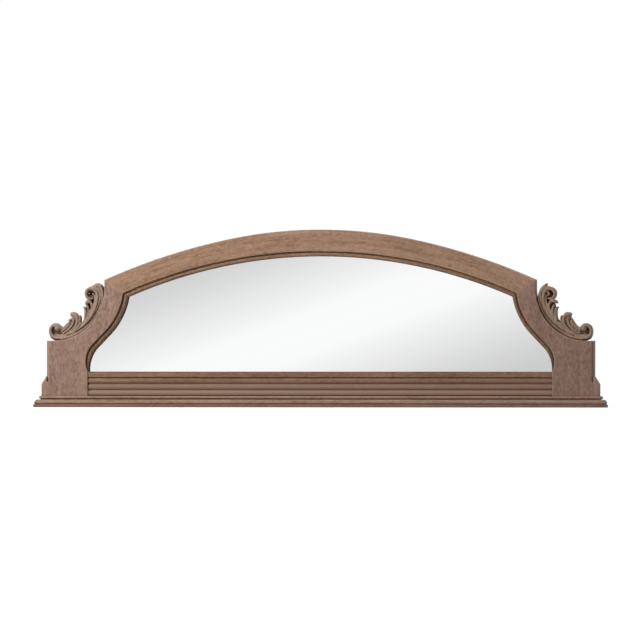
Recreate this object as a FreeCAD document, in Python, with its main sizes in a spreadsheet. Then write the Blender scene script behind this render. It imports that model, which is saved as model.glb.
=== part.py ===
import FreeCAD, Part
import math
import os

import Sketcher

# Low arched overmantel mirror in limed oak, in the Louis XVI manner.
# Millimetres, +X to the right, +Y to the back, +Z up.
# The origin is the middle of the base's underside.

SIZES = [
    # Base
    ("base_width", 1750, "over the moulded base"),
    ("base_height", 34, "base board and its mouldings"),
    ("base_projection", 21, "how far the mouldings stand out from the frame"),
    ("base_fillet_height", 9.5, "square fillet at the foot of the mouldings"),
    ("base_quirk", 2, "sunk line on each side of the quarter round"),
    ("base_round_height", 12, "quarter round"),
    ("base_round_top_projection", 8, "where the quarter round ends"),
    ("base_bead_radius", 4.4, "bead along the top"),
    # Frame boards
    ("frame_thickness", 30, "posts, top rail and bottom rail"),
    ("foot_height", 36, "upright part of each post's foot"),
    ("foot_slope_height", 24, "slope above the foot"),
    ("foot_step", 15.5, "how far the foot stands out"),
    ("shoulder_height", 200, "top of the shoulder above the base's underside"),
    ("shoulder_flat", 21, "flat of the shoulder beside the cove"),
    ("cove_radius", 157, "quarter-round cove that holds the carving"),
    ("corner_check", 6, "width and depth of the stopped check on the post's corner"),
    ("corner_check_start", 42, "where that check stops, above the base"),
    # Arch
    ("arch_height", 533.5, "crown of the arch above the base's underside"),
    ("post_rise", 25.6, "post's outer corner above the cove's centre"),
    ("top_rail_width", 64.5, "top rail at the crown"),
    # Mitre and opening, measured at the frame's inner edge
    ("mitre_run", 56.5, "mitre from the post's outer corner inwards"),
    ("mitre_drop", 39.7, "mitre from that corner downwards"),
    ("corner_lean", 7.2, "lean of the post's edge at the inner corner, in degrees"),
    ("post_neck", 119.5, "post from the opening's widest place to the shoulder's edge"),
    ("hollow_radius", 73, "hollow at the foot of the post's edge"),
    ("hollow_rise", 30, "centre of the hollow above the bottom rail"),
    ("sweep_straight", 57, "straight stretch between bulge and hollow"),
    # Bottom rail
    ("rail_height", 73.4, "bottom rail"),
    ("rail_setback", 4, "how far it lies behind the posts' face"),
    ("reed_depth", 3.5, "roundness of each reed"),
    ("reed_quirk_width", 3, "sunk line between two reeds"),
    ("reed_quirk_depth", 1.5, "depth of that line below the reeds' edges"),
    ("tenon_length", 40, "tenons of the bottom rail"),
    ("tenon_height", 50, ""),
    ("tenon_thickness", 10, ""),
    ("tenon_rise", 8, "tenon above the rail's lower edge"),
    # Mitres
    ("tongue_length", 34, "loose tongue along the mitre"),
    ("tongue_width", 34, "loose tongue across the mitre"),
    ("tongue_thickness", 6, ""),
    ("tongue_setback", 7, "tongue behind the frame's face"),
    # Sight mouldings
    ("moulding_width", 16, "sight moulding, from the frame's edge to the glass"),
    ("moulding_quirk", 4.5, "sunk band beside the bead"),
    ("moulding_sink", 3, "bead below the frame's face"),
    ("moulding_bead_height", 4.5, "bead above the sunk band"),
    ("moulding_fall", 1.2, "bead's inner edge behind the sunk band"),
    ("moulding_bead_middle", 9, "highest place of the bead, from the frame's edge"),
    ("moulding_foot_width", 7.5, "what is left of its width above the bottom rail"),
    # Glass and what holds it
    ("rebate_width", 10, "rebate for the glass"),
    ("rebate_depth", 10, ""),
    ("glass_thickness", 4, ""),
    ("glass_play", 2, "glass short of the rebate's wall"),
    ("backing_thickness", 2, "card behind the glass"),
    ("block_length", 34, "wooden blocks that wedge the glass"),
    ("block_width", 7, ""),
    ("back_board_thickness", 10, ""),
    ("back_board_inset", 6, "boards short of the frame's outer edge"),
    ("back_board_half_width", 300, "half of the middle board"),
    # Screws and dowels
    ("screw_radius", 1.9, "shank"),
    ("screw_head_radius", 3.8, ""),
    ("screw_head_height", 2.6, ""),
    ("screw_bite", 14, "how far a screw enters the frame"),
    ("screw_inset", 24, "screws in from the frame's outer edge"),
    ("base_screw_radius", 2.4, ""),
    ("base_screw_head_radius", 4.6, ""),
    ("base_screw_head_height", 3.5, ""),
    ("base_screw_bite", 26, "how far a base screw enters post or rail"),
    ("dowel_radius", 4, ""),
    ("dowel_length", 36, ""),
    ("dowel_offset", 55, "dowels in from the cove's centre"),
    # Hanging plates
    ("plate_width", 20, ""),
    ("plate_height", 44, ""),
    ("plate_thickness", 2, ""),
    ("plate_sink", 3, "plates let in below the back"),
    ("plate_half_spacing", 420, "keyholes from the middle"),
    ("plate_drop", 30, "centre of the plate below the arch"),
    ("keyhole_radius", 4.5, "round entry of the keyhole"),
    ("keyhole_slot_radius", 2.4, ""),
    ("keyhole_slot_length", 9, "from the entry's centre to the slot's end"),
    ("keyhole_room", 2, "room round the screw head behind the plate"),
    ("plate_screw_inset", 7, "plate screws from the plate's ends"),
    # Carvings
    ("carving_thickness", 27, ""),
    ("carving_setback", 2, "carving behind the frame's face"),
    ("vein_width", 5, "hollow vein along the carving's stem"),
    ("vein_depth", 4, ""),
    ("scroll_eye_radius", 5.5, "pierced eye of the upper scroll"),
    ("volute_eye_radius", 7, "sunk eye of the end volute"),
    ("volute_eye_depth", 9, ""),
    # Fits
    ("wood_gap", 0.3, "glue line or play between shaped pieces"),
    ("overrun", 12, "how far a cut runs past the wood"),
]

# Places along the glass's edge for the wedging blocks, as shares of each stretch.
BLOCK_ARCH_SHARES = [-0.84, -0.5, -0.17, 0.17, 0.5, 0.84]
BLOCK_SILL_SHARES = [-0.8, -0.4, 0.0, 0.4, 0.8]
BLOCK_SIDE_SHARE = 0.5

# The arch: width of its middle stretch and radius of its side stretches, as shares of
# the whole width and of the middle stretch's radius.
CROWN_WIDTH_SHARE = 0.412
HAUNCH_RADIUS_SHARE = 1.392

# Where the middle stretch's radius is looked for, as shares of the half width between
# the posts' outer edges, and how often that range is halved.
ARCH_RADIUS_SHARES = (1, 100)
HALVINGS = 60

# Screws through the back boards: in the middle board from its middle to its joint, in a
# side board from the joint to the frame's end, and up each post.
MIDDLE_SCREW_SHARES = [0.25, 0.8]
SIDE_SCREW_SHARES = [0.14, 0.72]
POST_SCREW_SHARES = [0.25, 0.8]
BASE_SCREW_RAIL_SHARE = 0.4

# Eyes of the upper scroll and of the end volute, placed as the outline below.
SCROLL_EYE_SHARES = (0.04, 0.79)
VOLUTE_EYE_SHARES = (1.0, 0.83)

# The hollow vein: its place, where it starts and where it ends.
VEIN_RADIUS_SHARE = 0.9
VEIN_TURN_SHARES = (0.14, 0.94)

# Outline of a carving about the centre of its cove: share of the quarter turn from
# the post towards the shoulder, and share of the cove's radius. Each pair of points
# is the middle and the end of one arc.
CARVING_START_SHARES = (0.03, 1.0)
CARVING_ARC_SHARES = [
    ((-0.05, 0.93), (-0.085, 0.80)),
    ((-0.045, 0.67), (0.03, 0.585)),
    ((0.14, 0.58), (0.22, 0.64)),
    ((0.265, 0.59), (0.33, 0.60)),
    ((0.44, 0.70), (0.555, 0.80)),
    ((0.55, 0.675), (0.585, 0.59)),
    ((0.65, 0.535), (0.72, 0.575)),
    ((0.69, 0.63), (0.74, 0.665)),
    ((0.81, 0.69), (0.875, 0.765)),
    ((0.90, 0.68), (0.995, 0.67)),
    ((1.09, 0.73), (1.085, 0.84)),
    ((1.065, 0.92), (1.01, 0.985)),
]

document = FreeCAD.newDocument("Mirror")
sheet = document.addObject("Spreadsheet::Sheet", "Sizes")
for row, (alias, number, meaning) in enumerate(SIZES, start=1):
    sheet.set(f"A{row}", meaning)
    sheet.set(f"B{row}", str(number))
    sheet.setAlias(f"B{row}", alias)
document.recompute()


def value(expression):
    """The number that an expression of sheet values gives."""
    return float(sheet.evalExpression(expression))


def size(alias):
    return value(f"Sizes.{alias}")


# Levels from front to back, as expressions of the sheet's values.
BACK = ("((Sizes.base_projection + Sizes.frame_thickness"
        " + Sizes.back_board_thickness) / 2)")
FRONT = f"(-{BACK})"
FRAME_BACK = f"({BACK} - Sizes.back_board_thickness)"
FACE = f"({FRAME_BACK} - Sizes.frame_thickness)"
REBATE = f"({FRAME_BACK} - Sizes.rebate_depth)"
GLASS_BACK = f"({REBATE} + Sizes.glass_thickness)"
BACKING_BACK = f"({GLASS_BACK} + Sizes.backing_thickness)"
BEAD_FRONT = f"({FACE} + Sizes.moulding_sink)"
BEAD_FOOT = f"({BEAD_FRONT} + Sizes.moulding_bead_height)"
TONGUE_FRONT = f"({FACE} + Sizes.tongue_setback)"
TENON_FRONT = f"({REBATE} - Sizes.tenon_thickness)"
CARVING_FRONT = f"({FACE} + Sizes.carving_setback)"
CARVING_BACK = f"({CARVING_FRONT} + Sizes.carving_thickness)"
PLATE_BACK = f"({BACK} - Sizes.plate_sink)"
PLATE_FRONT = f"({PLATE_BACK} - Sizes.plate_thickness)"

# Widths and heights that several pieces share.
FOOT_HALF = "(Sizes.base_width / 2 - Sizes.base_projection)"
RAIL_TOP = "(Sizes.base_height + Sizes.rail_height)"
SILL = f"({RAIL_TOP} - Sizes.rebate_width)"

gap = size("wood_gap")
overrun = size("overrun")
base_half = value("Sizes.base_width / 2")
foot_half = value(FOOT_HALF)
base_top = size("base_height")
rail_top = value(RAIL_TOP)
sill = value(SILL)
shoulder_edge = foot_half - size("foot_step")
cove_centre = (shoulder_edge - size("shoulder_flat"),
               size("shoulder_height") + size("cove_radius"))
post_edge = cove_centre[0] - size("cove_radius")


# Plane geometry


def plus(point, direction, distance):
    return (point[0] + direction[0] * distance, point[1] + direction[1] * distance)


def polar(centre, radius, angle):
    return plus(centre, (math.cos(angle), math.sin(angle)), radius)


def angle_of(centre, point):
    return math.atan2(point[1] - centre[1], point[0] - centre[0])


def between(centre, radius, first, last):
    """The middle of the shorter arc from one point to another."""
    start = angle_of(centre, first)
    turn = angle_of(centre, last) - start
    turn = math.atan2(math.sin(turn), math.cos(turn))
    return polar(centre, radius, start + turn / 2)


def circles_meet(first, first_radius, second, second_radius):
    """Where two circles meet, on the left of the line from first to second."""
    span = math.dist(first, second)
    along = (span ** 2 + first_radius ** 2 - second_radius ** 2) / (2 * span)
    away = math.sqrt(first_radius ** 2 - along ** 2)
    axis = ((second[0] - first[0]) / span, (second[1] - first[1]) / span)
    return plus(plus(first, axis, along), (-axis[1], axis[0]), away)


# Outlines of the frame's right half. The left half mirrors them.

outer_corner = (post_edge, cove_centre[1] + size("post_rise"))
inner_corner = (post_edge - size("mitre_run"), outer_corner[1] - size("mitre_drop"))
crown_half_width = post_edge * CROWN_WIDTH_SHARE


def arch_for(radius):
    """Centres of the arch's middle and side stretches, for a middle stretch's radius."""
    joint_lean = math.asin(crown_half_width / radius)
    centre = (0, size("arch_height") - radius)
    return centre, plus(centre, (math.sin(joint_lean), math.cos(joint_lean)),
                        radius * (1 - HAUNCH_RADIUS_SHARE))


def arch_radius():
    """The middle stretch's radius at which the side stretches end on the posts' corners."""
    low, high = (share * post_edge for share in ARCH_RADIUS_SHARES)
    for _ in range(HALVINGS):
        radius = (low + high) / 2
        centre = arch_for(radius)[1]
        if math.dist(centre, outer_corner) > radius * HAUNCH_RADIUS_SHARE:
            low = radius
        else:
            high = radius
    return low


crown_radius = arch_radius()
haunch_radius = crown_radius * HAUNCH_RADIUS_SHARE
crown_centre, haunch_centre = arch_for(crown_radius)

opening_height = size("arch_height") - size("top_rail_width")
opening_rise = opening_height - inner_corner[1]
opening_radius = (inner_corner[0] ** 2 + opening_rise ** 2) / (2 * opening_rise)
opening_centre = (0, opening_height - opening_radius)
opening_half_width = shoulder_edge - size("post_neck")


def on_arch(x, inset=0):
    """The point of the arch at a half width, moved in by an inset."""
    centre, radius = crown_centre, crown_radius - inset
    if x > crown_half_width:
        centre, radius = haunch_centre, haunch_radius - inset
    return (x, centre[1] + math.sqrt(radius ** 2 - (x - centre[0]) ** 2))


def on_opening(x, inset=0):
    """The point of the opening's arched edge at a half width."""
    radius = opening_radius - inset
    return (x, opening_centre[1] + math.sqrt(radius ** 2 - x ** 2))


mitre_length = math.dist(outer_corner, inner_corner)
mitre_direction = ((inner_corner[0] - outer_corner[0]) / mitre_length,
                   (inner_corner[1] - outer_corner[1]) / mitre_length)

# The post's inner edge: a bulge, a straight and a hollow, each tangent to the next.
hollow_centre = (opening_half_width - size("hollow_radius"),
                 rail_top + size("hollow_rise"))
lean = math.radians(size("corner_lean"))
bulge_way = (math.cos(lean), math.sin(lean))
from_hollow = (inner_corner[0] - hollow_centre[0], inner_corner[1] - hollow_centre[1])
bulge_radius = (
    (math.hypot(*from_hollow) ** 2 - size("hollow_radius") ** 2
     - size("sweep_straight") ** 2)
    / 2 / (size("hollow_radius") - from_hollow[0] * bulge_way[0]
           - from_hollow[1] * bulge_way[1]))
bulge_centre = plus(inner_corner, bulge_way, bulge_radius)
sweep_angle = (angle_of(bulge_centre, hollow_centre)
               - math.atan2(size("sweep_straight"),
                            bulge_radius + size("hollow_radius")))


def edge_points(inset, top, low):
    """Points down the post's inner edge, moved into the opening by an inset.

    From the given top point to a height: the bulge's middle and end, then the
    hollow's start, middle and end.
    """
    bulge = bulge_radius + inset
    hollow = size("hollow_radius") - inset
    bulge_end = polar(bulge_centre, bulge, sweep_angle)
    hollow_start = polar(hollow_centre, hollow, sweep_angle + math.pi)
    reach = math.sqrt(hollow ** 2 - (hollow_centre[1] - low) ** 2)
    hollow_end = (hollow_centre[0] + reach, low)
    return (between(bulge_centre, bulge, top, bulge_end), bulge_end, hollow_start,
            between(hollow_centre, hollow, hollow_start, hollow_end), hollow_end)


def edge_down(inset, top, low):
    """Steps down the post's inner edge, from its top point to a height."""
    bulge, bulge_end, hollow_start, hollow, end = edge_points(inset, top, low)
    return [("arc", bulge, bulge_end), ("line", hollow_start), ("arc", hollow, end)]


def edge_up(inset, top, low):
    """The edge's lower end, and the same steps upwards from it."""
    bulge, bulge_end, hollow_start, hollow, end = edge_points(inset, top, low)
    return end, [("arc", hollow, hollow_start), ("line", bulge_end), ("arc", bulge, top)]


inner_foot = edge_points(0, inner_corner, rail_top)[-1]


# Document objects


def origin_plane(body, role):
    return next(plane for plane in body.Origin.OriginFeatures if plane.Role == role)


def new_body(name):
    body = document.addObject("PartDesign::Body", name)
    body.Label = name
    return body


def new_sketch(body, name, role, offset):
    """A sketch on one of the body's own planes, moved along that plane's normal."""
    sketch = body.newObject("Sketcher::SketchObject", f"{body.Name}_{name}")
    sketch.AttachmentSupport = [(origin_plane(body, role), "")]
    sketch.MapMode = "FlatFace"
    sketch.setExpression("AttachmentOffset.Base.z", offset)
    return sketch


def front_sketch(body, name, level):
    """A sketch seen from the front (X across, Z up) at a level from front to back."""
    return new_sketch(body, name, "XZ_Plane", f"-{level}")


def vector(point):
    return FreeCAD.Vector(point[0], point[1], 0)


def draw(sketch, start, steps, side=1):
    """Draws a closed outline from lines and three-point arcs and holds it in place."""
    def placed(point):
        return vector((point[0] * side, point[1]))

    here = placed(start)
    for step in steps:
        end = placed(step[-1])
        if step[0] == "line":
            edge = Part.LineSegment(here, end)
        else:
            edge = Part.Arc(here, placed(step[1]), end)
        index = sketch.addGeometry(edge)
        sketch.addConstraint(Sketcher.Constraint("Block", index))
        here = end


def draw_polygon(sketch, points, side=1):
    draw(sketch, points[0], [("line", point) for point in points[1:] + points[:1]], side)


def draw_rectangle(sketch, left, right, low, high, side=1):
    draw_polygon(sketch, [(left, low), (right, low), (right, high), (left, high)], side)


def draw_circles(sketch, places, radius):
    """Circles at places, all with one radius taken from the sheet."""
    normal = FreeCAD.Vector(0, 0, 1)
    for place in places:
        index = sketch.addGeometry(Part.Circle(vector(place), normal, value(radius)))
        dimension = sketch.addConstraint(Sketcher.Constraint("Radius", index, value(radius)))
        sketch.setExpression(f"Constraints[{dimension}]", radius)


def add_feature(body, kind, sketch, length):
    feature = body.newObject(f"PartDesign::{kind}", f"{sketch.Name}_{kind}")
    feature.Profile = sketch
    feature.setExpression("Length", length)
    sketch.Visibility = False
    return feature


def pad(body, sketch, length):
    """Adds wood from the sketch, towards the front, the right or the top."""
    return add_feature(body, "Pad", sketch, length)


def pocket(body, sketch, length):
    """Cuts from the sketch towards the back, the left or the bottom."""
    document.recompute()
    before = body.Shape.Volume
    feature = add_feature(body, "Pocket", sketch, length)
    document.recompute()
    if not body.Shape.Volume < before:
        raise RuntimeError(f"{feature.Name} cuts nothing")
    return feature


def drill_back(body, name, places, radius, level, depth):
    """Round holes along Y: from a level, towards the back by a depth."""
    sketch = front_sketch(body, name, level)
    draw_circles(sketch, places, radius)
    pocket(body, sketch, depth)


def drill_pilots(body, places):
    """Holes in the frame's back for the ends of the screws."""
    drill_back(body, "screw_holes", places, "Sizes.screw_radius + Sizes.wood_gap",
               f"({FRAME_BACK} - Sizes.screw_bite - Sizes.wood_gap)",
               "Sizes.screw_bite + Sizes.wood_gap")


# Places of the fastenings, seen from the front


def mirrored(places):
    return [(-x, z) for x, z in reversed(places)] + list(places)


def screw_xs(end):
    """Half widths of the board screws, in the middle board and then up to an end."""
    joint = size("back_board_half_width")
    xs = [share * joint for share in MIDDLE_SCREW_SHARES]
    return xs + [joint + share * (end - joint) for share in SIDE_SCREW_SHARES]


screw_inset = size("screw_inset")
screw_arch_places = [on_arch(x, screw_inset) for x in screw_xs(outer_corner[0])]
screw_sill_places = [(x, base_top + screw_inset) for x in screw_xs(inner_foot[0])]
screw_post_places = [(shoulder_edge - screw_inset,
                      base_top + share * (size("shoulder_height") - base_top))
                     for share in POST_SCREW_SHARES]
dowel_reach = math.sqrt(size("cove_radius") ** 2 - size("dowel_offset") ** 2)
dowel_middle_y = value(f"({CARVING_FRONT} + {CARVING_BACK}) / 2")
flat_dowel_face = cove_centre[0] - dowel_reach
flat_dowel_z = cove_centre[1] - size("dowel_offset")
upright_dowel_x = cove_centre[0] - size("dowel_offset")
upright_dowel_face = cove_centre[1] - dowel_reach
post_middle_x = (inner_foot[0] + foot_half) / 2
base_screw_y = value(f"({FACE} + {FRAME_BACK}) / 2")
plate_x = size("plate_half_spacing")
plate_middle = on_arch(plate_x)[1] - size("plate_drop")
keyhole_z = plate_middle - size("keyhole_slot_length") / 2
plate_screw_reach = size("plate_height") / 2 - size("plate_screw_inset")
plate_screw_zs = [plate_middle - plate_screw_reach, plate_middle + plate_screw_reach]
plate_screw_places = [(x, z) for x in (-plate_x, plate_x) for z in plate_screw_zs]
base_screw_xs = [-post_middle_x, -BASE_SCREW_RAIL_SHARE * inner_foot[0],
                 BASE_SCREW_RAIL_SHARE * inner_foot[0], post_middle_x]


def tongue_corners(side, play=0):
    """Corners of a loose tongue, centred on the mitre."""
    middle = plus(inner_corner, mitre_direction, -mitre_length / 2)
    across = (-mitre_direction[1], mitre_direction[0])
    half_length = size("tongue_length") / 2 + play
    half_width = size("tongue_width") / 2 + play
    return [plus(plus(middle, mitre_direction, along * half_length), across, away * half_width)
            for along, away in ((-1, -1), (1, -1), (1, 1), (-1, 1))]


def cut_tongue_slot(body, side):
    sketch = front_sketch(body, "tongue_slot" + ("_right" if side > 0 else "_left"),
                          f"({TONGUE_FRONT} - Sizes.wood_gap)")
    draw_polygon(sketch, tongue_corners(side, gap), side)
    pocket(body, sketch, "Sizes.tongue_thickness + 2 * Sizes.wood_gap")


# Frame boards


def make_top_rail():
    body = new_body("top_rail")
    outline = front_sketch(body, "outline", FRAME_BACK)
    left_outer = (-outer_corner[0], outer_corner[1])
    left_inner = (-inner_corner[0], inner_corner[1])
    right_joint = on_arch(crown_half_width)
    left_joint = (-right_joint[0], right_joint[1])
    right_haunch = between(haunch_centre, haunch_radius, right_joint, outer_corner)
    left_haunch = (-right_haunch[0], right_haunch[1])
    draw(outline, left_outer,
         [("arc", left_haunch, left_joint), ("arc", on_arch(0), right_joint),
          ("arc", right_haunch, outer_corner), ("line", inner_corner),
          ("arc", on_opening(0), left_inner), ("line", left_outer)])
    pad(body, outline, "Sizes.frame_thickness")

    rebate = front_sketch(body, "rebate", REBATE)
    reach = inner_corner[0] + overrun
    width = -size("rebate_width")
    draw(rebate, on_opening(-reach, overrun),
         [("arc", on_opening(0, overrun), on_opening(reach, overrun)),
          ("line", on_opening(reach, width)),
          ("arc", on_opening(0, width), on_opening(-reach, width)),
          ("line", on_opening(-reach, overrun))])
    pocket(body, rebate, "Sizes.rebate_depth")

    for side in (-1, 1):
        cut_tongue_slot(body, side)
    drill_pilots(body, mirrored(screw_arch_places) + plate_screw_places)
    return body


def make_post(name, side):
    body = new_body(name)
    outline = front_sketch(body, "outline", FRAME_BACK)
    foot_top = base_top + size("foot_height")
    cove_middle = polar(cove_centre, size("cove_radius"), math.pi * 5 / 4)
    steps = [("line", inner_corner)]
    steps += edge_down(0, inner_corner, rail_top)
    steps += [("line", (inner_foot[0], base_top)),
              ("line", (foot_half, base_top)),
              ("line", (foot_half, foot_top)),
              ("line", (shoulder_edge, foot_top + size("foot_slope_height"))),
              ("line", (shoulder_edge, size("shoulder_height"))),
              ("line", (cove_centre[0], size("shoulder_height"))),
              ("arc", cove_middle, (post_edge, cove_centre[1])),
              ("line", outer_corner)]
    draw(outline, outer_corner, steps, side)
    pad(body, outline, "Sizes.frame_thickness")

    rebate = front_sketch(body, "rebate", REBATE)
    width = -size("rebate_width")
    top = polar(bulge_centre, bulge_radius + width, math.pi)
    low, edge = edge_up(width, top, sill)
    inside = inner_corner[0] - overrun
    draw(rebate, low, edge + [("line", (inside, top[1])), ("line", (inside, sill)),
                              ("line", low)], side)
    pocket(body, rebate, "Sizes.rebate_depth")

    check = front_sketch(body, "corner_check", FACE)
    draw_rectangle(check, shoulder_edge - size("corner_check"), shoulder_edge,
                   base_top + size("corner_check_start"),
                   size("shoulder_height") + overrun, side)
    pocket(body, check, "Sizes.corner_check")

    mortise = front_sketch(body, "mortise", f"({TENON_FRONT} - Sizes.wood_gap)")
    tenon_low = base_top + size("tenon_rise")
    draw_rectangle(mortise, inner_foot[0] - overrun,
                   inner_foot[0] + size("tenon_length") + gap,
                   tenon_low - gap, tenon_low + size("tenon_height") + gap, side)
    pocket(body, mortise, "Sizes.tenon_thickness + 2 * Sizes.wood_gap")

    cut_tongue_slot(body, side)
    drill_pilots(body, [(side * x, z) for x, z in screw_post_places])

    base_hole = new_sketch(body, "base_screw_hole", "XY_Plane",
                           "Sizes.base_height + Sizes.base_screw_bite + Sizes.wood_gap")
    draw_circles(base_hole, [(side * post_middle_x, base_screw_y)],
                 "Sizes.base_screw_radius + Sizes.wood_gap")
    pocket(body, base_hole, "Sizes.base_screw_bite + Sizes.overrun")

    upright = new_sketch(body, "upright_dowel_hole", "XY_Plane", "Sizes.shoulder_height * 2")
    draw_circles(upright, [(side * upright_dowel_x, dowel_middle_y)],
                 "Sizes.dowel_radius + Sizes.wood_gap")
    hole_floor = upright_dowel_face - size("dowel_length") / 2 - gap
    pocket(body, upright, f"Sizes.shoulder_height * 2 - {hole_floor}")

    hole_end = flat_dowel_face - size("dowel_length") / 2 - gap
    sketch_level = foot_half if side > 0 else -hole_end
    flat = new_sketch(body, "flat_dowel_hole", "YZ_Plane", f"{sketch_level}")
    draw_circles(flat, [(dowel_middle_y, flat_dowel_z)], "Sizes.dowel_radius + Sizes.wood_gap")
    pocket(body, flat, f"{foot_half - hole_end}")
    return body


def make_bottom_rail():
    body = new_body("bottom_rail")
    profile = new_sketch(body, "profile", "YZ_Plane", f"{-inner_foot[0]}")
    front = value(FACE) + size("rail_setback")
    reed_edge = front + size("reed_depth")
    floor = reed_edge + size("reed_quirk_depth")
    half_quirk = size("reed_quirk_width") / 2
    bands = 4
    pitch = size("rail_height") / bands
    frame_back = value(FRAME_BACK)
    steps = [("line", (reed_edge, base_top))]
    for band in range(bands - 1):
        low = base_top + band * pitch
        start = low + (half_quirk if band else 0)
        end = low + pitch - half_quirk
        steps.append(("arc", (front, (start + end) / 2), (reed_edge, end)))
        steps.append(("line", (floor, end)))
        steps.append(("line", (floor, end + 2 * half_quirk)))
        last = band == bands - 2
        steps.append(("line", (front if last else reed_edge, end + 2 * half_quirk)))
    steps += [("line", (front, rail_top)), ("line", (value(REBATE), rail_top)),
              ("line", (value(REBATE), sill)), ("line", (frame_back, sill)),
              ("line", (frame_back, base_top))]
    draw(profile, (frame_back, base_top), steps)
    pad(body, profile, f"{2 * inner_foot[0]}")

    tenon_low = base_top + size("tenon_rise")
    tenon_high = tenon_low + size("tenon_height")
    tenons = front_sketch(body, "tenons", REBATE)
    draw_rectangle(tenons, -inner_foot[0] - size("tenon_length"),
                   inner_foot[0] + size("tenon_length"), tenon_low, tenon_high)
    pad(body, tenons, "Sizes.tenon_thickness")

    drill_pilots(body, mirrored(screw_sill_places))
    base_holes = new_sketch(body, "base_screw_holes", "XY_Plane",
                            "Sizes.base_height + Sizes.base_screw_bite + Sizes.wood_gap")
    draw_circles(base_holes, [(x, base_screw_y) for x in base_screw_xs[1:3]],
                 "Sizes.base_screw_radius + Sizes.wood_gap")
    pocket(body, base_holes, "Sizes.base_screw_bite + Sizes.overrun")
    return body


def make_tongue(name, side):
    body = new_body(name)
    outline = front_sketch(body, "outline", f"({TONGUE_FRONT} + Sizes.tongue_thickness)")
    draw_polygon(outline, tongue_corners(side), side)
    pad(body, outline, "Sizes.tongue_thickness")
    return body


# Sight mouldings


def moulding_section(sketch, place, side=1):
    """The sight moulding's section: place turns (distance from the frame, Y) into a point."""
    width = size("moulding_width")
    front, foot, back = value(BEAD_FRONT), value(BEAD_FOOT), value(REBATE)
    draw(sketch, place((gap, foot)),
         [("line", place((size("moulding_quirk"), foot))),
          ("arc", place((size("moulding_bead_middle"), front)),
           place((width, foot + size("moulding_fall")))),
          ("line", place((width, back))), ("line", place((gap, back))),
          ("line", place((gap, foot)))], side)


def cut_mitre(body, side, away):
    """Cuts a moulding off at the mitre, on the post's side (1) or on the rail's (-1)."""
    across = (-mitre_direction[1] * away, mitre_direction[0] * away)
    reach = 2 * size("moulding_width")
    above = plus(inner_corner, mitre_direction, -overrun)
    below = plus(inner_corner, mitre_direction, reach)
    sketch = front_sketch(body, "mitre", FACE)
    draw_polygon(sketch, [above, below, plus(below, across, reach), plus(above, across, reach)],
                 side)
    return pocket(body, sketch, "Sizes.frame_thickness")


def make_top_moulding():
    """The arched moulding: its section turned about the arch's centre, and mirrored."""
    body = new_body("sight_moulding_top")
    section = new_sketch(body, "section", "YZ_Plane", "0")
    section.setExpression("AttachmentOffset.Base.y", f"{opening_centre[1]}")
    radius = opening_radius
    moulding_section(section, lambda point: (point[1], radius - point[0]))
    run = body.newObject("PartDesign::Revolution", "sight_moulding_top_run")
    run.Profile = section
    run.ReferenceAxis = (section, ["H_Axis"])
    turn = math.asin((inner_corner[0] + size("moulding_width")) / radius)
    run.setExpression("Angle", f"{math.degrees(turn)}")
    section.Visibility = False
    document.recompute()
    cut = cut_mitre(body, math.copysign(1, run.Shape.BoundBox.Center.x), 1)
    both = body.newObject("PartDesign::Mirrored", "sight_moulding_top_both")
    both.Originals = [run, cut]
    both.MirrorPlane = (origin_plane(body, "YZ_Plane"), [""])
    body.Tip = both
    return body


def make_side_moulding(name, side):
    """The moulding beside a post: it stands on the rail and follows the post's edge.

    Its lower end runs straight down, cut to the post's edge where that curls back.
    """
    body = new_body(name)
    widest = opening_half_width
    section = new_sketch(body, "section", "XY_Plane", RAIL_TOP)
    moulding_section(section, lambda point: (widest - point[0], point[1]), side)
    turn = angle_of(bulge_centre, inner_corner) - size("moulding_width") / bulge_radius
    top = polar(bulge_centre, bulge_radius, turn)
    start, upwards = edge_up(0, top, hollow_centre[1])
    spine = front_sketch(body, "spine", "0")
    draw(spine, (widest, rail_top), [("line", start)] + upwards, side)
    run = body.newObject("PartDesign::AdditivePipe", f"{name}_run")
    run.Profile = section
    run.Spine = spine
    section.Visibility = False
    spine.Visibility = False
    cut_mitre(body, side, -1)

    scribe = front_sketch(body, "scribe", FACE)
    hollow = size("hollow_radius") - gap
    high = (hollow_centre[0] + hollow, hollow_centre[1])
    low = edge_points(gap, inner_corner, rail_top - overrun)[-1]
    draw(scribe, high,
         [("arc", between(hollow_centre, hollow, high, low), low),
          ("line", (high[0] + overrun, low[1])), ("line", (high[0] + overrun, high[1])),
          ("line", high)], side)
    pocket(body, scribe, "Sizes.frame_thickness")

    # The glass's side of the foot: a rounder hollow than the post's, down to a narrow foot.
    inset = size("moulding_width") + gap
    _, first, bend, _, _ = edge_points(inset, inner_corner, rail_top)
    low_x = widest - size("moulding_foot_width")
    lean_out = sweep_angle + math.pi
    radius = (low_x - bend[0]) / (1 - math.cos(lean_out))
    centre = polar(bend, -radius, lean_out)
    upright = (low_x, centre[1])
    bottom = rail_top - overrun
    back = first[0] - overrun
    foot = front_sketch(body, "foot", FACE)
    draw(foot, first,
         [("line", bend), ("arc", between(centre, radius, bend, upright), upright),
          ("line", (low_x, bottom)), ("line", (back, bottom)), ("line", (back, first[1])),
          ("line", first)], side)
    pocket(body, foot, "Sizes.frame_thickness")
    return body


# Glass and what lies behind it


def glass_outline(sketch, play):
    """The glass's outline, short of the rebate's wall by a play."""
    inset = play - size("rebate_width")
    corner = circles_meet(opening_centre, opening_radius - inset,
                          bulge_centre, bulge_radius + inset)
    down = edge_down(inset, corner, sill)
    low, upwards = edge_up(inset, corner, sill)

    def left(point):
        return (-point[0], point[1])

    steps = down + [("line", left(low))]
    steps += [(step[0],) + tuple(left(point) for point in step[1:]) for step in upwards]
    steps += [("arc", on_opening(0, inset), corner)]
    draw(sketch, corner, steps)


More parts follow.
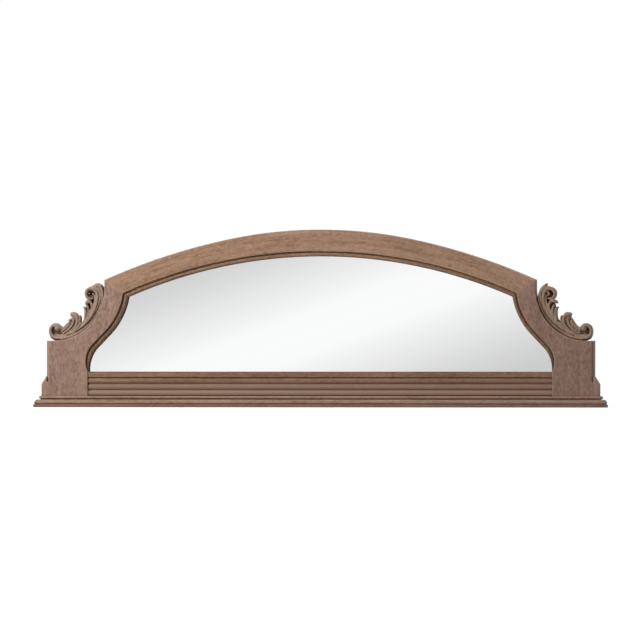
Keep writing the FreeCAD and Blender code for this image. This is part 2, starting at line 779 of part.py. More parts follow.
def make_sheet(name, back, thickness):
    body = new_body(name)
    outline = front_sketch(body, "outline", back)
    glass_outline(outline, size("glass_play"))
    pad(body, outline, thickness)
    return body


def make_glass_blocks():
    body = new_body("glass_blocks")
    body.AllowCompound = True
    sketch = front_sketch(body, "outlines", FRAME_BACK)
    half_length = size("block_length") / 2
    width = size("block_width")
    wall = opening_radius + size("rebate_width")
    sagitta = wall - math.sqrt(wall ** 2 - half_length ** 2)
    reach = inner_corner[0]
    placed = []
    for share in BLOCK_ARCH_SHARES:
        point = on_opening(share * reach, -size("rebate_width"))
        inward = ((opening_centre[0] - point[0]) / wall, (opening_centre[1] - point[1]) / wall)
        placed.append((plus(point, inward, sagitta + gap), inward))
    for share in BLOCK_SILL_SHARES:
        placed.append(((share * inner_foot[0], sill + gap), (0, 1)))
    upper, lower = edge_points(-size("rebate_width"), inner_corner, sill)[1:3]
    inward = (math.cos(sweep_angle), math.sin(sweep_angle))
    on_side = plus(upper, (lower[0] - upper[0], lower[1] - upper[1]), BLOCK_SIDE_SHARE)
    seat = plus(on_side, inward, gap)
    placed.append((seat, inward))
    placed.append(((-seat[0], seat[1]), (-inward[0], inward[1])))
    for point, inward in placed:
        along = (-inward[1], inward[0])
        near = [plus(point, along, sign * half_length) for sign in (-1, 1)]
        far = [plus(corner, inward, width) for corner in reversed(near)]
        draw_polygon(sketch, near + far)
    pad(body, sketch, f"{FRAME_BACK} - {BACKING_BACK}")
    return body


# Back boards


def board_screws(side):
    """Screw places in one board: -1 left, 0 middle, 1 right."""
    half = size("back_board_half_width")
    places = mirrored(screw_arch_places + screw_sill_places + screw_post_places)
    if side == 0:
        return [place for place in places if abs(place[0]) < half]
    return [place for place in places if side * place[0] > half]


def drill_board(body, places):
    drill_back(body, "screw_holes", places, "Sizes.screw_radius + Sizes.wood_gap",
               FRAME_BACK, "Sizes.back_board_thickness")
    drill_back(body, "screw_heads", places, "Sizes.screw_head_radius + Sizes.wood_gap",
               f"({BACK} - Sizes.screw_head_height)", "Sizes.screw_head_height")


def make_middle_board():
    body = new_body("back_board_middle")
    inset = size("back_board_inset")
    half = size("back_board_half_width")
    outline = front_sketch(body, "outline", BACK)
    corner = on_arch(half, inset)
    draw(outline, (-half, base_top),
         [("line", (-corner[0], corner[1])), ("arc", on_arch(0, inset), corner),
          ("line", (half, base_top)), ("line", (-half, base_top))])
    pad(body, outline, "Sizes.back_board_thickness")
    drill_board(body, board_screws(0))
    return body


def make_side_board(name, side):
    body = new_body(name)
    inset = size("back_board_inset")
    half = size("back_board_half_width")
    outline = front_sketch(body, "outline", BACK)
    start = on_arch(half, inset)
    corner = on_arch(post_edge - inset, inset)
    middle = on_arch((start[0] + corner[0]) / 2, inset)
    cove = size("cove_radius") + inset
    edge = shoulder_edge - inset
    draw(outline, (half, base_top),
         [("line", start), ("arc", middle, corner),
          ("line", (post_edge - inset, cove_centre[1])),
          ("arc", polar(cove_centre, cove, math.pi * 5 / 4),
           (cove_centre[0], cove_centre[1] - cove)),
          ("line", (edge, cove_centre[1] - cove)), ("line", (edge, base_top)),
          ("line", (half, base_top))], side)
    pad(body, outline, "Sizes.back_board_thickness")
    drill_board(body, board_screws(side))

    seat = front_sketch(body, "plate_seat", PLATE_FRONT)
    half_width = size("plate_width") / 2
    half_height = size("plate_height") / 2
    draw_rectangle(seat, plate_x - half_width - gap, plate_x + half_width + gap,
                   plate_middle - half_height - gap, plate_middle + half_height + gap, side)
    pocket(body, seat, "Sizes.plate_thickness + Sizes.plate_sink")

    room = front_sketch(body, "keyhole_room", FRAME_BACK)
    reach = size("keyhole_radius") + size("keyhole_room")
    draw_rectangle(room, plate_x - reach, plate_x + reach, keyhole_z - reach,
                   keyhole_z + size("keyhole_slot_length") + reach, side)
    pocket(body, room, "Sizes.back_board_thickness")

    drill_back(body, "plate_screw_holes", [(side * plate_x, z) for z in plate_screw_zs],
               "Sizes.screw_radius + Sizes.wood_gap", FRAME_BACK, "Sizes.back_board_thickness")
    return body


def make_screws(name, places, head_level, bite):
    """Screws driven from the back: one shank and one flush head at each place."""
    body = new_body(name)
    body.AllowCompound = True
    shanks = front_sketch(body, "shanks", f"({head_level} - Sizes.screw_head_height)")
    draw_circles(shanks, places, "Sizes.screw_radius")
    pad(body, shanks, bite)
    heads = front_sketch(body, "heads", head_level)
    draw_circles(heads, places, "Sizes.screw_head_radius")
    pad(body, heads, "Sizes.screw_head_height")
    return body


# Hanging plates


def make_plate(name, side):
    body = new_body(name)
    outline = front_sketch(body, "outline", PLATE_BACK)
    half_width = size("plate_width") / 2
    half_height = size("plate_height") / 2
    draw_rectangle(outline, plate_x - half_width, plate_x + half_width,
                   plate_middle - half_height, plate_middle + half_height, side)
    pad(body, outline, "Sizes.plate_thickness")

    slot = front_sketch(body, "keyhole", PLATE_FRONT)
    narrow = size("keyhole_slot_radius")
    rise = math.sqrt(size("keyhole_radius") ** 2 - narrow ** 2)
    top = keyhole_z + size("keyhole_slot_length")
    right = (plate_x + narrow, keyhole_z + rise)
    left = (plate_x - narrow, keyhole_z + rise)
    draw(slot, right,
         [("line", (right[0], top)), ("arc", (plate_x, top + narrow), (left[0], top)),
          ("line", left), ("arc", (plate_x, keyhole_z - size("keyhole_radius")), right)], side)
    pocket(body, slot, "Sizes.plate_thickness")

    drill_back(body, "screw_holes", [(side * plate_x, z) for z in plate_screw_zs],
               "Sizes.screw_radius + Sizes.wood_gap", PLATE_FRONT, "Sizes.plate_thickness")
    return body


# Base


def base_profile(place):
    """The base moulding's section: place turns (projection, height) into a point."""
    out = size("base_projection")
    fillet = size("base_fillet_height")
    quirk = size("base_quirk")
    round_low = fillet + quirk
    round_high = round_low + size("base_round_height")
    round_in = size("base_round_top_projection")
    reach = out - quirk
    bulge = (round_in + (reach - round_in) * math.sqrt(0.5),
             round_low + (round_high - round_low) * math.sqrt(0.5))
    bead = size("base_bead_radius")
    bead_middle = base_top - bead
    steps = [("line", place((out, 0))), ("line", place((out, fillet))),
             ("line", place((reach - quirk, fillet))),
             ("line", place((reach - quirk, round_low))),
             ("line", place((reach, round_low))),
             ("arc", place(bulge), place((round_in, round_high))),
             ("line", place((quirk, round_high))),
             ("line", place((quirk, bead_middle - bead))),
             ("arc", place((quirk + bead, bead_middle)), place((quirk, base_top))),
             ("line", place((0, base_top))), ("line", place((0, 0)))]
    return place((0, 0)), steps


def make_base_board():
    body = new_body("base_board")
    outline = new_sketch(body, "outline", "XY_Plane", "0")
    draw_rectangle(outline, -foot_half, foot_half, value(FACE), value(BACK))
    pad(body, outline, "Sizes.base_height")
    places = [(x, base_screw_y) for x in base_screw_xs]
    holes = new_sketch(body, "screw_holes", "XY_Plane", "Sizes.base_height")
    draw_circles(holes, places, "Sizes.base_screw_radius + Sizes.wood_gap")
    pocket(body, holes, "Sizes.base_height")
    heads = new_sketch(body, "screw_heads", "XY_Plane",
                       "Sizes.base_screw_head_height + Sizes.base_quirk")
    draw_circles(heads, places, "Sizes.base_screw_head_radius + Sizes.wood_gap")
    pocket(body, heads, "Sizes.base_screw_head_height + Sizes.base_quirk")
    return body


def make_front_base_moulding():
    body = new_body("base_moulding_front")
    profile = new_sketch(body, "profile", "YZ_Plane", "-Sizes.base_width / 2")
    face = value(FACE)
    start, steps = base_profile(lambda point: (face - point[0], point[1]))
    draw(profile, start, steps)
    pad(body, profile, "Sizes.base_width")
    for side in (-1, 1):
        mitre = new_sketch(body, "mitre" + ("_right" if side > 0 else "_left"),
                           "XY_Plane", "Sizes.base_height")
        draw_polygon(mitre, [(foot_half, face), (base_half, value(FRONT)),
                             (base_half + overrun, value(FRONT)), (base_half + overrun, face)],
                     side)
        pocket(body, mitre, "Sizes.base_height")
    return body


def make_side_base_moulding(name, side):
    body = new_body(name)
    profile = front_sketch(body, "profile", BACK)
    start, steps = base_profile(lambda point: (foot_half + point[0], point[1]))
    draw(profile, start, steps, side)
    pad(body, profile, f"{BACK} - {FRONT}")
    mitre = new_sketch(body, "mitre", "XY_Plane", "Sizes.base_height")
    face = value(FACE)
    draw_polygon(mitre, [(foot_half, face), (base_half, value(FRONT)),
                         (base_half, value(FRONT) - overrun),
                         (foot_half - overrun, value(FRONT) - overrun),
                         (foot_half - overrun, face)], side)
    pocket(body, mitre, "Sizes.base_height")
    return body


def make_base_screws():
    """Screws up through the base board into the posts and the bottom rail."""
    body = new_body("base_screws")
    body.AllowCompound = True
    places = [(x, base_screw_y) for x in base_screw_xs]
    heads = new_sketch(body, "heads", "XY_Plane", "Sizes.base_quirk")
    draw_circles(heads, places, "Sizes.base_screw_head_radius")
    pad(body, heads, "Sizes.base_screw_head_height")
    shanks = new_sketch(body, "shanks", "XY_Plane",
                        "Sizes.base_quirk + Sizes.base_screw_head_height")
    draw_circles(shanks, places, "Sizes.base_screw_radius")
    pad(body, shanks, "Sizes.base_height + Sizes.base_screw_bite"
                      " - Sizes.base_quirk - Sizes.base_screw_head_height")
    return body


# Carvings in the coves


def carving_point(shares):
    """A point from its share of the quarter turn and its share of the cove's radius."""
    turn_share, radius_share = shares
    reach = size("cove_radius") - gap
    return polar(cove_centre, reach * radius_share, math.pi + turn_share * math.pi / 2)


def make_carving(name, side):
    body = new_body(name)
    outline = front_sketch(body, "outline", CARVING_BACK)
    start = carving_point(CARVING_START_SHARES)
    steps = [("arc", carving_point(middle), carving_point(end))
             for middle, end in CARVING_ARC_SHARES]
    seat_end = carving_point((1, 1))
    steps += [("line", seat_end), ("arc", carving_point((0.5, 1)), start)]
    draw(outline, start, steps, side)
    pad(body, outline, "Sizes.carving_thickness")

    def placed(shares):
        point = carving_point(shares)
        return [(side * point[0], point[1])]

    drill_back(body, "scroll_eye", placed(SCROLL_EYE_SHARES), "Sizes.scroll_eye_radius",
               CARVING_FRONT, "Sizes.carving_thickness")
    drill_back(body, "volute_eye", placed(VOLUTE_EYE_SHARES), "Sizes.volute_eye_radius",
               CARVING_FRONT, "Sizes.volute_eye_depth")

    vein = front_sketch(body, "vein", CARVING_FRONT)
    inner = VEIN_RADIUS_SHARE - size("vein_width") / size("cove_radius")
    first, last = VEIN_TURN_SHARES
    middle = (first + last) / 2
    draw(vein, carving_point((first, inner)),
         [("arc", carving_point((middle, inner)), carving_point((last, inner))),
          ("line", carving_point((last, VEIN_RADIUS_SHARE))),
          ("arc", carving_point((middle, VEIN_RADIUS_SHARE)),
           carving_point((first, VEIN_RADIUS_SHARE))),
          ("line", carving_point((first, inner)))], side)
    pocket(body, vein, "Sizes.vein_depth")

    hole_top = upright_dowel_face + size("dowel_length") / 2 + gap
    upright = new_sketch(body, "upright_dowel_hole", "XY_Plane", f"{hole_top}")
    draw_circles(upright, [(side * upright_dowel_x, dowel_middle_y)],
                 "Sizes.dowel_radius + Sizes.wood_gap")
    pocket(body, upright, "Sizes.dowel_length")

    hole_end = flat_dowel_face + size("dowel_length") / 2 + gap
    flat = new_sketch(body, "flat_dowel_hole", "YZ_Plane",
                      f"{hole_end if side > 0 else size('dowel_length') - hole_end}")
    draw_circles(flat, [(dowel_middle_y, flat_dowel_z)], "Sizes.dowel_radius + Sizes.wood_gap")
    pocket(body, flat, "Sizes.dowel_length")
    return body


def make_dowels(name, side):
    body = new_body(name)
    body.AllowCompound = True
    upright = new_sketch(body, "upright", "XY_Plane",
                         f"{upright_dowel_face} - Sizes.dowel_length / 2")
    draw_circles(upright, [(side * upright_dowel_x, dowel_middle_y)], "Sizes.dowel_radius")
    pad(body, upright, "Sizes.dowel_length")
    flat = new_sketch(body, "flat", "YZ_Plane",
                      f"{side * flat_dowel_face} - Sizes.dowel_length / 2")
    draw_circles(flat, [(dowel_middle_y, flat_dowel_z)], "Sizes.dowel_radius")
    pad(body, flat, "Sizes.dowel_length")
    return body


SIDES = (("left", -1), ("right", 1))
board_screw_places = board_screws(-1) + board_screws(0) + board_screws(1)

pieces = [make_top_rail(), make_bottom_rail(), make_top_moulding(),
          make_base_board(), make_front_base_moulding(), make_base_screws(),
          make_sheet("mirror_glass", GLASS_BACK, "Sizes.glass_thickness"),
          make_sheet("backing_card", BACKING_BACK, "Sizes.backing_thickness"),
          make_glass_blocks(), make_middle_board(),
          make_screws("back_board_screws", board_screw_places, BACK,
                      "Sizes.back_board_thickness - Sizes.screw_head_height"
                      " + Sizes.screw_bite"),
          make_screws("hanging_plate_screws", plate_screw_places,
                      f"({PLATE_BACK} + Sizes.screw_head_height)",
                      "Sizes.back_board_thickness - Sizes.plate_sink + Sizes.screw_bite")]
for side_name, side in SIDES:
    pieces += [make_post(f"{side_name}_post", side),
               make_tongue(f"{side_name}_mitre_tongue", side),
               make_side_moulding(f"sight_moulding_{side_name}", side),
               make_side_base_moulding(f"base_moulding_{side_name}", side),
               make_side_board(f"back_board_{side_name}", side),
               make_plate(f"hanging_plate_{side_name}", side),
               make_carving(f"{side_name}_carving", side),
               make_dowels(f"{side_name}_carving_dowels", side)]
document.recompute()

for item in document.Objects:
    if "Invalid" in item.State or "Error" in item.State:
        raise RuntimeError(f"{item.Name} failed: {item.State}")

os.makedirs("parts", exist_ok=True)
for piece in pieces:
    shape = piece.Shape
    if shape.isNull() or not shape.isValid() or not shape.Solids:
        raise RuntimeError(f"{piece.Label} has no valid solid")
    shape.exportStep(f"parts/{piece.Label}.step")
    print(piece.Label, len(shape.Solids), round(shape.Volume))
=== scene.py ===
import math

import bmesh
import bpy
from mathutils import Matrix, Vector


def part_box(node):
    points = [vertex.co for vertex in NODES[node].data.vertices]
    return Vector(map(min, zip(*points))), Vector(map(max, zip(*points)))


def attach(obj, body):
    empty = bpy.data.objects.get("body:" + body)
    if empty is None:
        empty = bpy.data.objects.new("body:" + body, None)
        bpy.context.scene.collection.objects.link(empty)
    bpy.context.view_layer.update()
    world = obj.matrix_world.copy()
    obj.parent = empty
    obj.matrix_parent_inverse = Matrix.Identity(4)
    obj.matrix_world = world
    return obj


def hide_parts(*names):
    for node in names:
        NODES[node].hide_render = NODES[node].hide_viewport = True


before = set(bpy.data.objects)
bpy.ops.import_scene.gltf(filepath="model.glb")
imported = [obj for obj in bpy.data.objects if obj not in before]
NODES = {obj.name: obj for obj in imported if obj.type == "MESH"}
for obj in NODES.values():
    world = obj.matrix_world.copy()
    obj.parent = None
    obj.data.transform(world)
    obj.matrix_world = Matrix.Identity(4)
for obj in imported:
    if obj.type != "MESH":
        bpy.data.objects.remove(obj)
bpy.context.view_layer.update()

# A low arched overmantel mirror in limed oak. Metres, +X right, +Y back, +Z up.

# Camera: the photograph's viewing angle, the size of a pixel on the object and the
# picture's row where the object stands. The lens is very long, so that nothing converges.
VIEW_AZIMUTH = math.radians(12)
METRES_PER_PIXEL = 0.003
PICTURE_SIZE = 640
FLOOR_ROW = 407.4
CAMERA_DISTANCE = 80.0
SENSOR_WIDTH = 36.0

# Shapes of the solids that the materials and carvings follow.
ARCH_RADIUS = 1.521
ARCH_CENTRE_Z = -0.9875
COVE_RADIUS = 0.157
COVE_CENTRE = (0.8175, 0.357)


def place_camera():
    """A long lens, level with the middle of the picture."""
    rise = (FLOOR_ROW - PICTURE_SIZE / 2) * METRES_PER_PIXEL
    data = bpy.data.cameras.new("camera")
    data.sensor_width = SENSOR_WIDTH
    data.lens = SENSOR_WIDTH * CAMERA_DISTANCE / (PICTURE_SIZE * METRES_PER_PIXEL)
    data.clip_end = 2 * CAMERA_DISTANCE
    camera = bpy.data.objects.new("camera", data)
    camera.location = (math.sin(VIEW_AZIMUTH) * CAMERA_DISTANCE,
                       -math.cos(VIEW_AZIMUTH) * CAMERA_DISTANCE, rise)
    camera.rotation_euler = (math.pi / 2, 0, VIEW_AZIMUTH)
    bpy.context.scene.collection.objects.link(camera)
    bpy.context.scene.camera = camera


# Material nodes


def srgb(red, green, blue):
    """A shader colour from the three 8-bit values that a picture shows."""
    def linear(level):
        share = level / 255
        return share / 12.92 if share <= 0.04045 else ((share + 0.055) / 1.055) ** 2.4

    return (linear(red), linear(green), linear(blue), 1.0)


def tinted(color, red, green, blue):
    return tuple(min(1.0, channel * factor)
                 for channel, factor in zip(color, (red, green, blue))) + (1.0,)


# The colour mix node's sockets for the share and the two colours, and its colour output.
MIX_SOCKETS = (0, 6, 7)
MIX_RESULT = 2

# Where a ramp's new stops start, before they get their own places.
RAMP_MIDDLE = 0.5

WHITE = (1.0, 1.0, 1.0, 1.0)


class Graph:
    """The nodes of a material or the world, emptied, and short ways to add and join them."""

    def __init__(self, owner, output="ShaderNodeOutputMaterial"):
        self.owner = owner
        self.owner.use_nodes = True
        self.tree = self.owner.node_tree
        self.tree.nodes.clear()
        self.output = self.add(output)

    def add(self, kind, settings=None, values=(), **inputs):
        """A new node with its settings, and its sockets filled in order or by their names."""
        node = self.tree.nodes.new(kind)
        for key, value in (settings or {}).items():
            setattr(node, key, value)
        for index, value in enumerate(values):
            self.plug(node, index, value)
        for key, value in inputs.items():
            self.plug(node, key.replace("_", " "), value)
        return node

    def plug(self, node, key, value):
        socket = node.inputs[key]
        if isinstance(value, bpy.types.NodeSocket):
            self.tree.links.new(value, socket)
        else:
            socket.default_value = value

    def math(self, operation, *values):
        return self.add("ShaderNodeMath", {"operation": operation}, values).outputs[0]

    def measure(self, operation, *vectors):
        """A number that vectors give, such as a length."""
        node = self.add("ShaderNodeVectorMath", {"operation": operation}, vectors)
        return node.outputs["Value"]

    def rising(self, start, gain, value):
        """A level that a value raises from its start."""
        return self.math("ADD", start, self.math("MULTIPLY", value, gain))

    def mix(self, share, first, second):
        node = self.add("ShaderNodeMix", {"data_type": "RGBA"})
        for index, value in zip(MIX_SOCKETS, (share, first, second)):
            self.plug(node, index, value)
        return node.outputs[MIX_RESULT]

    def ramp(self, value, stops):
        """The colours of rising stops, blended in between."""
        node = self.add("ShaderNodeValToRGB", Fac=value)
        elements = node.color_ramp.elements
        while len(elements) < len(stops):
            elements.new(RAMP_MIDDLE)
        for element, (position, color) in zip(elements, stops):
            element.position = position
            element.color = color
        return node.outputs[0]

    def share(self, value, low, high, most=1.0):
        """Turns a value into a share: none at low and the most at high."""
        node = self.add("ShaderNodeMapRange", {"interpolation_type": "SMOOTHSTEP"},
                        Value=value, From_Min=low, From_Max=high, To_Max=most)
        return node.outputs[0]

    def place(self):
        return self.add("ShaderNodeTexCoord").outputs["Object"]

    def scaled(self, vector, *scale):
        return self.add("ShaderNodeMapping", Vector=vector, Scale=scale).outputs[0]

    def noise(self, vector, scale, detail, roughness, seed):
        node = self.add("ShaderNodeTexNoise", {"noise_dimensions": "4D"}, Vector=vector,
                        W=seed, Scale=scale, Detail=detail, Roughness=roughness)
        return node.outputs[0]

    def bump(self, height, strength, distance, **more):
        return self.add("ShaderNodeBump", Height=height, Strength=strength,
                        Distance=distance, **more).outputs[0]

    def finish(self, shader):
        self.plug(self.output, "Surface", shader.outputs[0])
        return self.owner


def material_graph(name):
    return Graph(bpy.data.materials.new(name))


# Grain directions: each gives coordinates whose X runs along the grain.


def grain_across(g):
    return g.place()


def grain_up(g):
    return g.add("ShaderNodeMapping", Vector=g.place(),
                 Rotation=(0, math.radians(90), 0)).outputs[0]


def grain_round_arch(g):
    """Along the arch, from front to back, and out from the arch's centre."""
    split = g.add("ShaderNodeSeparateXYZ", Vector=g.place())
    rise = g.math("SUBTRACT", split.outputs["Z"], ARCH_CENTRE_Z)
    angle = g.math("ARCTAN2", split.outputs["X"], rise)
    reach = g.math("POWER", g.math("ADD", g.math("POWER", split.outputs["X"], 2.0),
                                   g.math("POWER", rise, 2.0)), 0.5)
    joined = g.add("ShaderNodeCombineXYZ", X=g.math("MULTIPLY", angle, ARCH_RADIUS),
                   Y=split.outputs["Y"], Z=reach)
    return joined.outputs[0]


# The marks in the wood: their length and width in metres, how fine they are, and how far
# their noise lies from the board's seed. Then the noise's roughness and its middle level.
MARKS = {
    "figure": (0.42, 0.030, 3.0, 0.0),
    "streaks": (0.120, 0.0065, 4.0, 3.1),
    "mottle": (0.011, 0.0065, 3.0, 5.7),
    "pores": (0.014, 0.0012, 2.0, 7.9),
}
MARK_ROUGHNESS = 0.55
NOISE_MIDDLE = 0.5

# Tints of a board's tone, by the level that its marks add up to.
WOOD_TINTS = ((0.05, (0.50, 0.43, 0.37)), (0.34, (0.82, 0.78, 0.74)), (0.5, (1.0, 1.0, 1.0)),
              (0.68, (1.16, 1.19, 1.22)), (0.95, (1.42, 1.50, 1.58)))

# What covers the wood, painted light and shade among it: where it starts, where it is full,
# and its tint of the board's tone. Lime goes by the pores' level, dust and the painted shade
# at the foot by the height, worn edges with their painted highlight by the cosine between a
# face and its rounded edge, dirt with painted shade by how open a place is, and the painted
# shade beside the glass by the depth behind the glass's face (below 0: in front of it).
# Heights and depths are in metres.
COVERS = {
    "lime": (0.56, 0.68, (1.55, 1.68, 1.82)),
    "dust": (0.085, 0.050, (1.22, 1.40, 1.60)),
    # Pale edges: partly worn wood, partly a painted highlight along the rounded arris.
    "wear_and_highlight": (0.999, 0.86, (1.75, 1.85, 1.95)),
    # Dirt with painted shade: hollows and creases darkened by how enclosed they are.
    "dirt_and_shade": (0.85, 0.20, (0.27, 0.160, 0.110)),
    # Painted shade: the wood darkened just in front of the glass's face.
    "glass_edge_shade": (-0.0125, -0.0085, (0.25, 0.17, 0.125)),
    # Painted shade: the base darker towards the floor.
    "foot": (0.019, 0.009, (0.24, 0.19, 0.15)),
}
EDGE_SAMPLES = 6
HOLLOW_SAMPLES = 8

# The wood's surface: its least roughness and what the figure adds, the streaks' share of its
# relief beside the pores, and the relief's strength and height.
WOOD_ROUGHNESS = (0.50, 0.22)
STREAK_RELIEF = 0.6
WOOD_RELIEF = (0.4, 0.0005)

# A look says how strongly each mark and cover shows, and gives three more values: how far
# into a hollow its dirt and painted shade are felt and the radius of worn edges with their
# painted highlight, both in metres, and the gloss, which is the specular level.
BOARD = {"figure": 0.8, "streaks": 0.8, "mottle": 0.9, "pores": 0.7, "lime": 0.30,
         "dirt_and_shade": 0.75, "hollow": 0.008, "wear_and_highlight": 1.0, "edge": 0.005, "glass_edge_shade": 0.0, "foot": 0.0,
         "dust": 0.0, "gloss": 0.3}
POST = {**BOARD, "figure": 0.5, "streaks": 0.45, "mottle": 1.2, "pores": 0.8,
        "dirt_and_shade": 0.45, "hollow": 0.006}
REEDED = {**BOARD, "dirt_and_shade": 0.8, "hollow": 0.005, "wear_and_highlight": 0.5, "edge": 0.002, "dust": 0.9}
BASE = {**BOARD, "dirt_and_shade": 0.7, "hollow": 0.006, "wear_and_highlight": 0.6, "edge": 0.002, "foot": 0.42}
SIGHT = {**BOARD, "dirt_and_shade": 0.8, "wear_and_highlight": 0.5, "edge": 0.002, "glass_edge_shade": 0.94, "gloss": 0.08}
SIGHT_TOP = {**SIGHT, "dirt_and_shade": 0.1, "glass_edge_shade": 0.5}
SIGHT_RIGHT = {**SIGHT, "dirt_and_shade": 0.3, "glass_edge_shade": 0.25}
CARVED = {**BOARD, "figure": 0.4, "streaks": 0.5, "pores": 0.5, "lime": 0.20,
          "dirt_and_shade": 0.95, "hollow": 0.020, "wear_and_highlight": 0.45, "edge": 0.0016}
RAW = {**BOARD, "figure": 1.4, "streaks": 1.3, "mottle": 0.6, "pores": 0.9, "lime": 0.0,
       "dirt_and_shade": 0.6, "wear_and_highlight": 0.2, "edge": 0.0008}


def oak(name, tone, seed, grain, look):
    """Limed oak: open pores, streaked growth rings, pale worn edges with a painted highlight, and
    hollows darkened by dirt and painted shade.
    """
    g = material_graph(name)
    base = srgb(*tone)
    along = grain(g)
    marks = {kind: g.noise(g.scaled(along, 1 / length, 1 / width, 1 / width), 1.0, detail,
                           MARK_ROUGHNESS, seed + offset)
             for kind, (length, width, detail, offset) in MARKS.items()}
    level = NOISE_MIDDLE
    for kind, mark in marks.items():
        level = g.math("ADD", level, g.math("MULTIPLY", g.math("SUBTRACT", mark, NOISE_MIDDLE),
                                            look[kind]))

    def covered(color, kind, value, origin=0.0):
        start, full, tint = COVERS[kind]
        share = g.share(value, origin + start, origin + full, look[kind])
        return g.mix(share, color, tinted(base, *tint))

    color = g.ramp(level, [(stop, tinted(base, *tint)) for stop, tint in WOOD_TINTS])
    color = covered(color, "lime", marks["pores"])
    split = g.add("ShaderNodeSeparateXYZ", Vector=g.place())
    color = covered(color, "dust", split.outputs["Z"])

    # Worn edges made paler with a painted highlight, and dirt with painted shade that darkens the
    # hollows and creases.
    flat = g.add("ShaderNodeNewGeometry").outputs["Normal"]
    rounded = g.add("ShaderNodeBevel", {"samples": EDGE_SAMPLES}, Radius=look["edge"]).outputs[0]
    # Edges lightened: worn wood and a painted highlight where the rounded edge catches light.
    color = covered(color, "wear_and_highlight", g.measure("DOT_PRODUCT", flat, rounded))
    # Painted shade with dirt: the less open a place, the darker its colour.
    hollow = g.add("ShaderNodeAmbientOcclusion", {"samples": HOLLOW_SAMPLES},
                   Distance=look["hollow"])
    color = covered(color, "dirt_and_shade", hollow.outputs["AO"])

    # Painted shade beside the glass and along the foot of the base.
    glass_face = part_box("mirror_glass")[0][1]
    # Painted shade: a dark band on the wood close to the glass.
    color = covered(color, "glass_edge_shade", split.outputs["Y"], glass_face)
    # Painted shade: the lowest part of the base darkened by height.
    color = covered(color, "foot", split.outputs["Z"])

    height = g.math("ADD", g.math("MULTIPLY", marks["streaks"], STREAK_RELIEF), marks["pores"])
    shader = g.add("ShaderNodeBsdfPrincipled", Base_Color=color,
                   Roughness=g.rising(*WOOD_ROUGHNESS, marks["figure"]),
                   Normal=g.bump(height, *WOOD_RELIEF, Normal=rounded))
    shader.inputs["Specular IOR Level"].default_value = look["gloss"]
    return g.finish(shader)


# Other materials. A noise is its scale, detail, roughness and seed, and the scale counts per
# metre, except the scratches', whose place is scaled first. A share is the noise's level
# where it starts, where it is full, and the most that it reaches. A relief is its strength
# and height. The steel's roughness is its least and what the scratches add.
HAZE_NOISE = (9.0, 6.0, 0.6, 2.0)
HAZE_SHARE = (0.5, 0.8, 0.03)
SPECK_NOISE = (620.0, 2.0, 0.5, 5.0)
SPECK_SHARE = (0.74, 0.80, 0.35)
SILVER_TONE = (0.82, 0.823, 0.826, 1)
SPECK_TONE = (0.37, 0.37, 0.36, 1)
GLASS_ROUGHNESS = 0.012

SCRATCHES_PER_METRE = (40.0, 2400.0, 2400.0)
SCRATCH_NOISE = (1.0, 3.0, 0.5, 1.0)
SCRATCH_RELIEF = (0.3, 0.0001)
STEEL_TONES = ((0.30, 0.29, 0.28, 1), (0.50, 0.49, 0.47, 1))
STEEL_ROUGHNESS = (0.28, 0.25)

FIBRE_NOISE = (900.0, 3.0, 0.6, 4.0)
FIBRE_RELIEF = (0.2, 0.0002)
STAIN_NOISE = (5.0, 4.0, 0.6, 9.0)
STAIN_SHARE = (0.5, 0.7, 0.4)
FIBRE_TONES = ((104, 92, 78), (138, 124, 106))
STAIN_TONE = (92, 76, 60)
BACKING_ROUGHNESS = 0.9


def silvered_glass():
    """Old plate glass: a silvered face with faint haze and a few dark specks."""
    g = material_graph("silvered_glass")
    haze = g.noise(g.place(), *HAZE_NOISE)
    specks = g.noise(g.place(), *SPECK_NOISE)
    shader = g.add("ShaderNodeBsdfPrincipled",
                   Base_Color=g.mix(g.share(specks, *SPECK_SHARE), SILVER_TONE, SPECK_TONE),
                   Roughness=g.math("ADD", GLASS_ROUGHNESS, g.share(haze, *HAZE_SHARE)))
    shader.inputs["Metallic"].default_value = 1.0
    return g.finish(shader)


def brushed_steel():
    g = material_graph("brushed_steel")
    scratches = g.noise(g.scaled(grain_up(g), *SCRATCHES_PER_METRE), *SCRATCH_NOISE)
    shader = g.add("ShaderNodeBsdfPrincipled", Base_Color=g.mix(scratches, *STEEL_TONES),
                   Roughness=g.rising(*STEEL_ROUGHNESS, scratches),
                   Normal=g.bump(scratches, *SCRATCH_RELIEF))
    shader.inputs["Metallic"].default_value = 1.0
    return g.finish(shader)


def grey_card():
    g = material_graph("grey_card")
    fibres = g.noise(g.place(), *FIBRE_NOISE)
    stain = g.noise(g.place(), *STAIN_NOISE)
    color = g.mix(fibres, *(srgb(*tone) for tone in FIBRE_TONES))
    shader = g.add("ShaderNodeBsdfPrincipled",
                   Base_Color=g.mix(g.share(stain, *STAIN_SHARE), color, srgb(*STAIN_TONE)),
                   Normal=g.bump(fibres, *FIBRE_RELIEF))
    shader.inputs["Roughness"].default_value = BACKING_ROUGHNESS
    return g.finish(shader)


